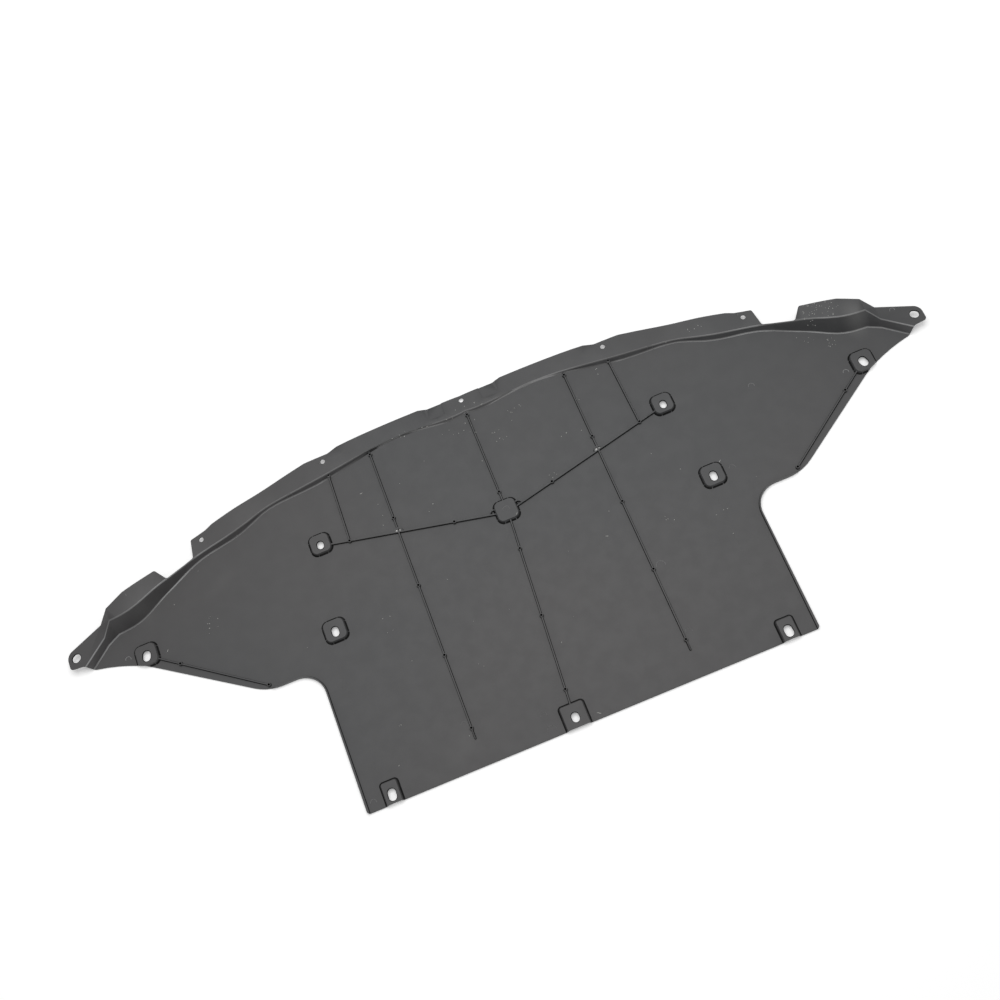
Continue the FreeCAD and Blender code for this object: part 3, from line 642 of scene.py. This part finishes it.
class SHIELD_OT_panel(bpy.types.Operator):
    """Skin of the moulded panel, in grained plastic"""
    bl_idname = "shield.panel"
    bl_label = "Panel"

    def execute(self, context):
        sizes, finish = context.scene.shield_sizes, context.scene.shield_finish
        form = merged_form(PANEL_NODE)
        round_pad_rims(form, sizes.pad_rim)
        tops = level_islands(form, POST_TOP)
        mesh = bpy.data.meshes.new("panel_form")
        form.to_mesh(mesh)
        form.free()
        rough = link_object("panel_form", mesh)
        values = {"Panel": rough, "Post Radius": sizes.post_radius, "Post Height": POST_REACH,
                  "Well Radius": sizes.well_radius, "Well Depth": 2 * sizes.well_depth}
        plain = moulded_plastic("moulded_plastic", finish, plain_tone, finish.roughness)
        piece = grow("panel_skin", tops, self.round_posts(plain), values)
        bpy.data.objects.remove(rough)
        join_level_faces(piece)
        shade(piece, sizes.smooth_angle)
        # Material of the bends: pale painted highlight, and painted shade in the groove
        bend_highlight = moulded_plastic("painted_highlight_and_shade", finish, bend_highlight_and_groove_shade, finish.roughness + HIGHLIGHT_GLOSS_SHIFT)
        piece.data.materials.clear()
        for material in (plain, bend_highlight, painted_shade_material(finish)):
            piece.data.materials.append(material)
        # Faces inside the wells get painted shade, narrow bends the painted highlight, the rest plain
        # plastic
        for polygon in piece.data.polygons:
            if is_in_well(polygon, tops, sizes.well_radius):
                polygon.material_index = SHADED
            else:
                polygon.material_index = HIGHLIGHTED if is_bend(polygon, piece.data) else PLAIN
        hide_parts(PANEL_NODE)
        keep(piece)
        context.view_layer.update()
        return {"FINISHED"}

    def round_posts(self, material):
        """Tree that joins a round post to each point, its top at the point, and sinks a well into it.

        The well's cylinder has its middle at the top, so it is twice as long as the well is deep.
        """
        tree = Tree("round_posts", Panel="Object", Post_Radius="Float", Post_Height="Float",
                    Well_Radius="Float", Well_Depth="Float")
        sleeve = tree.add("GeometryNodeMeshCylinder", Vertices=POST_SIDES,
                          Radius=tree.value("Post Radius"), Depth=tree.value("Post Height"))
        drop = tree.math("MULTIPLY_ADD", tree.value("Post Height"), -0.5, POST_PROUD)
        drop = tree.add("ShaderNodeCombineXYZ", Z=drop)
        sleeve = tree.add("GeometryNodeTransform", Geometry=sleeve.outputs["Mesh"],
                          Translation=drop.outputs[0])
        well = tree.add("GeometryNodeMeshCylinder", Vertices=WELL_SIDES,
                        Radius=tree.value("Well Radius"), Depth=tree.value("Well Depth"))
        panel = tree.add("GeometryNodeObjectInfo", Object=tree.value("Panel"))
        joined = tree.add("GeometryNodeMeshBoolean", {"operation": "UNION", "solver": "EXACT"})
        tree.feed(joined.inputs[1], panel.outputs["Geometry"])
        tree.feed(joined.inputs[1], tree.real(tree.copies(sleeve.outputs[0])))
        cut = tree.add("GeometryNodeMeshBoolean", {"operation": "DIFFERENCE", "solver": "EXACT"})
        tree.feed(cut.inputs[0], joined.outputs["Mesh"])
        tree.feed(cut.inputs[1], tree.real(tree.copies(well.outputs["Mesh"])))
        return tree.close(cut.outputs["Mesh"], material)


class SHIELD_OT_painted_corner_shade(bpy.types.Operator):
    """Painted shade: dark strips along the feet of the ribs, posts and pads and round the oblong holes"""
    bl_idname = "shield.corner_grime"
    bl_label = "Painted corner shade"

    def execute(self, context):
        sizes = context.scene.shield_sizes
        form = bmesh.new()
        form.from_mesh(bpy.data.objects["panel_skin"].data)
        strips = []
        for edge in form.edges:
            rising, falling = self.wall_above(edge), self.wall_below(edge)
            # Painted shade at the foot of a rib, post or pad
            if rising:
                kind = "pad" if self.is_pad_wall(rising) else "rib %d" % edge.index
                strips.append((kind, edge, rising.normal, *self.foot_strip(rising, sizes)))
            elif falling:
                # Painted shade down the wall of an oblong hole and round its rim
                proud = falling.normal * SHADE_LIFT
                strips.append(("bore", edge, falling.normal, proud - Vector((0, 0, SKIN)), proud))
                strips.append(("rim", edge, falling.normal, proud, -falling.normal * sizes.hole_rim_shade))
        mesh = self.strip_mesh(strips)
        form.free()
        mesh.materials.append(bpy.data.materials["painted_shade_material"])
        keep(link_object("corner_grime", mesh))
        return {"FINISHED"}

    def is_pad_wall(self, wall):
        return wall.normal.z > PAD_WALL[0]

    def foot_strip(self, wall, sizes):
        """Offsets from the foot of a wall to the outer and upper edge of the painted shade there."""
        rise = sizes.pad_shade_rise if self.is_pad_wall(wall) else sizes.shade_rise
        level = Vector((wall.normal.x, wall.normal.y, 0))
        outer = level.normalized() * sizes.shade_width
        upper = Vector((0, 0, rise)) - level * wall.normal.z * rise / level.length_squared
        return outer, upper + wall.normal * SHADE_LIFT

    def strip_mesh(self, strips):
        """One quad along each edge. Quads of one kind that meet at a corner share their ends there.

        A strip is its kind, its edge, the way it faces, and how far its two sides lie from the edge.
        """
        ends = {}
        for kind, edge, outward, low, high in strips:
            for vertex in edge.verts:
                ends.setdefault((kind, vertex), []).append((low, high))
        corners, faces = [], []
        for kind, edge, outward, low, high in strips:
            quad = []
            for vertex in edge.verts:
                shared = ends[kind, vertex]
                for side in (0, 1):
                    offset = sum((pair[side] for pair in shared), Vector()) / len(shared)
                    quad.append(self.inside(vertex.co + offset + Vector((0, 0, SHADE_LIFT))))
            if (quad[2] - quad[0]).cross(quad[1] - quad[0]).dot(outward) < 0:
                quad = quad[2:] + quad[:2]
            faces.append(tuple(len(corners) + index for index in (0, 2, 3, 1)))
            corners += quad
        mesh = bpy.data.meshes.new("corner_grime")
        mesh.from_pydata([tuple(corner) for corner in corners], [], faces)
        return mesh

    def inside(self, corner):
        """The corner, held within the panel's length and width."""
        low, high = CAD_BOX
        x, y = (min(max(corner[axis], low[axis]), high[axis]) for axis in (0, 1))
        return Vector((x, y, corner.z))

    def wall_above(self, edge):
        """Steep face that rises from the plate at an edge, if there is one."""
        if len(edge.link_faces) != 2 or not lies_at(edge, PLATE_TOP):
            return None
        wall, level = sorted(edge.link_faces, key=lambda face: face.normal.z)
        rises = wall.calc_center_bounds().z > PLATE_TOP + WALL_RISE
        return wall if level.normal.z > LEVEL and within(wall.normal.z, RISING_WALL) and rises else None

    def wall_below(self, edge):
        """Wall of an oblong hole that falls from the upper face at an edge, if there is one."""
        if len(edge.link_faces) != 2:
            return None
        middle = (edge.verts[0].co + edge.verts[1].co) / 2
        wall, level = sorted(edge.link_faces, key=lambda face: face.normal.z)
        falls = wall.calc_center_bounds().z <= middle.z
        if level.normal.z < LEVEL or not within(wall.normal.z, HOLE_WALL) or not falls:
            return None
        return wall if any((middle - hole).xy.length < HOLE_REACH for hole in HOLES) else None


class SHIELD_OT_ejector_rings(bpy.types.Operator):
    """Shallow rings that the ejector pins left on the panel, each only the arc on its lit side, in the pale
    material of the painted highlight
    """
    bl_idname = "shield.ejector_rings"
    bl_label = "Ejector rings"

    def execute(self, context):
        sizes = context.scene.shield_sizes
        places = [(x, y, 0) for x, y, radius in EJECTOR_RINGS]
        traits = {"Radius": [radius for x, y, radius in EJECTOR_RINGS]}
        values = {"Width": sizes.ring_width, "Rise": sizes.ring_rise}
        # The arcs take the pale material of the painted highlight
        piece = grow("ejector_rings", places, self.rings(bpy.data.materials["painted_highlight_and_shade"]), values, traits)
        lay_on_panel(piece)
        piece.data.shade_smooth()
        keep(piece)
        return {"FINISHED"}

    def rings(self, material):
        """Tree that lays a flattened arc of the point's radius at each point."""
        tree = Tree("ejector_rings", Width="Float", Rise="Float")
        line = tree.add("GeometryNodeCurveArc", Resolution=24, Radius=1.0, Start_Angle=LIT_ARC_START,
                        Sweep_Angle=LIT_ARC_SWEEP)
        lines = tree.real(tree.copies(line.outputs["Curve"], Scale=tree.trait("Radius")))
        upright = tree.add("GeometryNodeSetCurveNormal", {"mode": "Z_UP"}, Curve=lines)
        section = tree.add("GeometryNodeCurvePrimitiveCircle", Resolution=8, Radius=1.0)
        size = tree.add("ShaderNodeCombineXYZ", X=tree.value("Width"), Y=tree.value("Rise"), Z=1.0)
        half_size = tree.add("ShaderNodeVectorMath", {"operation": "SCALE"}, Scale=0.5)
        tree.feed(half_size.inputs[0], size.outputs[0])
        section = tree.add("GeometryNodeTransform", Geometry=section.outputs["Curve"],
                           Scale=half_size.outputs[0])
        rings = tree.add("GeometryNodeCurveToMesh", Curve=upright.outputs[0],
                         Profile_Curve=section.outputs[0], Fill_Caps=True)
        return tree.close(rings.outputs[0], material)


class SHIELD_OT_crumbs(bpy.types.Operator):
    """Pale crumbs that lie in patches on the panel"""
    bl_idname = "shield.crumbs"
    bl_label = "Crumbs"

    def execute(self, context):
        sizes, finish = context.scene.shield_sizes, context.scene.shield_finish
        tree = Tree("crumbs", Size="Float", Seed="Int")
        crumb = tree.add("GeometryNodeMeshIcoSphere", Radius=tree.value("Size"), Subdivisions=2)
        copies = tree.copies(crumb.outputs[0], Scale=tree.chance(*CRUMB_SHAPE),
                             Rotation=tree.chance(*CRUMB_TURN))
        tree.close(copies, pale_material("pale_crumbs", finish.crumb, roughness=0.8, darkest=0.55))
        values = {"Size": sizes.crumb_size, "Seed": CRUMB_SHAPE_SEED}
        keep(grow("pale_crumbs", self.crumb_places(), tree, values))
        return {"FINISHED"}

    def crumb_places(self):
        """Random places in the patches, as far as they lie on the panel."""
        chance = random.Random(CRUMB_PLACE_SEED)
        places = []
        for x, y, half_width, half_depth, count in CRUMB_PATCHES:
            for crumb in range(count):
                place = (x + chance.uniform(-1, 1) * half_width, y + chance.uniform(-1, 1) * half_depth)
                if look_down(*place)[0]:
                    places.append((*place, surface_height(*place)))
        return places


class SHIELD_OT_gate_marks(bpy.types.Operator):
    """Pale marks in the corners of the ribs, where the plastic entered the mould"""
    bl_idname = "shield.gate_marks"
    bl_label = "Gate marks"

    def execute(self, context):
        sizes, finish = context.scene.shield_sizes, context.scene.shield_finish
        material = pale_material("pale_gate_plastic", finish.gate, roughness=0.6, darkest=0.7)
        tree = Tree("gate_marks", Flatness="Float")
        blob = tree.add("GeometryNodeMeshIcoSphere", Radius=1.0, Subdivisions=3)
        shape = tree.add("ShaderNodeCombineXYZ", X=1.0, Y=1.0, Z=tree.value("Flatness"))
        blob = tree.add("GeometryNodeTransform", Geometry=blob.outputs[0], Scale=shape.outputs[0])
        tree.close(tree.copies(blob.outputs[0], Scale=tree.trait("Radius")), material)
        marks = [(x + right, y + front, radius) for x, y in GATE_PLACES
                 for right, front, radius in GATE_MARKS]
        places = [(x, y, PLATE_TOP) for x, y, radius in marks]
        traits = {"Radius": [radius for x, y, radius in marks]}
        piece = grow("gate_marks", places, tree, {"Flatness": sizes.gate_flatness}, traits)
        piece.data.shade_smooth()
        keep(piece)
        return {"FINISHED"}


class SHIELD_OT_scratches(bpy.types.Operator):
    """Short pale scratches, and a painted highlight at the boss's rim"""
    bl_idname = "shield.scratches"
    bl_label = "Scratches"

    def execute(self, context):
        sizes = context.scene.shield_sizes
        tree = Tree("scratches", Width="Float", Rise="Float")
        stroke = tree.add("GeometryNodeMeshIcoSphere", Radius=0.5, Subdivisions=3)
        size = tree.add("ShaderNodeCombineXYZ", X=tree.trait("Length"), Y=tree.value("Width"),
                        Z=tree.value("Rise"))
        spin = tree.add("ShaderNodeCombineXYZ", Z=tree.trait("Turn"))
        copies = tree.copies(stroke.outputs[0], Scale=size.outputs[0], Rotation=spin.outputs[0])
        tree.close(copies, bpy.data.materials["pale_crumbs"])
        places = [(x, y, 0) for x, y, length, turn in SCRATCHES_AND_GLINT]
        traits = {"Length": [length for x, y, length, turn in SCRATCHES_AND_GLINT],
                  "Turn": [math.radians(turn) for x, y, length, turn in SCRATCHES_AND_GLINT]}
        values = {"Width": sizes.scratch_width, "Rise": sizes.scratch_rise}
        piece = grow("scratches", places, tree, values, traits)
        lay_on_panel(piece)
        keep(piece)
        return {"FINISHED"}


class SHIELD_OT_stage(bpy.types.Operator):
    """Pale floor, soft light and the camera"""
    bl_idname = "shield.stage"
    bl_label = "Stage"

    def execute(self, context):
        stage = context.scene.shield_stage
        context.scene.view_settings.view_transform = "Standard"
        self.make_floor(stage)
        self.light_world(stage)
        self.hang_lamp(stage)
        self.place_camera(stage)
        return {"FINISHED"}

    def make_floor(self, stage):
        """Pale floor that the camera sees as white, and sees through from below."""
        half = stage.floor_size / 2
        mesh = bpy.data.meshes.new("floor")
        mesh.from_pydata([(-half, -half, 0), (half, -half, 0), (half, half, 0), (-half, half, 0)], [],
                         [(0, 1, 2, 3)])
        shader = Shader("pale_floor")
        paths = shader.add("ShaderNodeLightPath").outputs
        seen = shader.math("MAXIMUM", paths["Is Camera Ray"], paths["Is Glossy Ray"])
        seen = shader.math("MAXIMUM", seen, paths["Is Transmission Ray"])
        distance = shader.add("ShaderNodeVectorMath", {"operation": "LENGTH"})
        shader.feed(distance.inputs[0], shader.place)
        far = shader.ramp(distance.outputs["Value"], *FLOOR_FADE, bottom=stage.floor_lift)
        shader.put(shader.surface, Base_Color=shader.mix(seen, opaque(stage.floor), WHITE), Roughness=1.0,
                   Specular_IOR_Level=0.0, Emission_Color=WHITE,
                   Emission_Strength=shader.math("MULTIPLY", seen, far))
        below = shader.add("ShaderNodeNewGeometry").outputs["Backfacing"]
        clear = shader.add("ShaderNodeBsdfTransparent")
        either = shader.add("ShaderNodeMixShader")
        for socket, value in zip(either.inputs, (below, shader.surface.outputs[0], clear.outputs[0])):
            shader.feed(socket, value)
        shader.put(shader.output, Surface=either.outputs[0])
        mesh.materials.append(shader.material)
        link_object("floor", mesh)

    def light_world(self, stage):
        """Even light from all round, which the camera sees as white."""
        world = bpy.data.worlds.new("studio")
        world.use_nodes = True
        bpy.context.scene.world = world
        network = Network(world.node_tree)
        paths = network.add("ShaderNodeLightPath")
        strength = network.add("ShaderNodeMix")
        for index, value in ((0, paths.outputs["Is Camera Ray"]), (2, stage.world), (3, 1.0)):
            network.feed(strength.inputs[index], value)
        network.put(network.nodes["Background"], Color=WHITE, Strength=strength.outputs[0])

    def hang_lamp(self, stage):
        """Large soft lamp overhead."""
        data = bpy.data.lights.new("key_light", "AREA")
        data.shape = "RECTANGLE"
        data.size = LAMP_WIDTH
        data.size_y = LAMP_DEPTH
        data.energy = stage.key
        lamp = link_object("key_light", data)
        lamp.location = LAMP_PLACE
        lamp.rotation_mode = "QUATERNION"
        lamp.rotation_quaternion = (-LAMP_PLACE).to_track_quat("-Z", "Y")

    def place_camera(self, stage):
        """Camera at the photograph's viewing angle. Its lens and film are in millimetres."""
        data = bpy.data.cameras.new("camera")
        data.lens = stage.lens * 1000
        data.sensor_width = 36.0
        data.clip_start = 0.05
        data.clip_end = 100.0
        camera = link_object("camera", data)
        turn = Matrix((CAMERA_RIGHT, CAMERA_UP, CAMERA_BACK)).transposed()
        camera.location = CAMERA_PLACE
        camera.rotation_mode = "QUATERNION"
        camera.rotation_quaternion = turn.to_quaternion()
        bpy.context.scene.camera = camera


class SHIELD_PT_panel(bpy.types.Panel):
    """Pieces of the splash shield, with their sizes and colours"""
    bl_idname = "SHIELD_PT_panel"
    bl_label = "Splash Shield"
    bl_space_type = "VIEW_3D"
    bl_region_type = "UI"
    bl_category = "Splash Shield"

    def draw(self, context):
        column = self.layout.column()
        for operator in PIECES:
            column.operator(operator.bl_idname)
        for name in GROUPS:
            group = getattr(context.scene, name)
            for label in group.__annotations__:
                column.prop(group, label)


PIECES = (SHIELD_OT_panel, SHIELD_OT_painted_corner_shade, SHIELD_OT_ejector_rings, SHIELD_OT_gate_marks,
          SHIELD_OT_crumbs, SHIELD_OT_scratches, SHIELD_OT_stage)
GROUPS = {"shield_sizes": ShieldSizes, "shield_finish": ShieldFinish, "shield_stage": ShieldStage}
CLASSES = (*GROUPS.values(), *PIECES, SHIELD_PT_panel)


def register():
    for item in CLASSES:
        bpy.utils.register_class(item)
    for name, group in GROUPS.items():
        setattr(bpy.types.Scene, name, bpy.props.PointerProperty(type=group))


def unregister():
    for name in GROUPS:
        delattr(bpy.types.Scene, name)
    for item in reversed(CLASSES):
        bpy.utils.unregister_class(item)


def main():
    register()
    bpy.ops.shield.panel()
    bpy.ops.shield.corner_grime()
    bpy.ops.shield.ejector_rings()
    bpy.ops.shield.gate_marks()
    bpy.ops.shield.crumbs()
    bpy.ops.shield.scratches()
    bpy.ops.shield.stage()


if __name__ == "__main__":
    main()
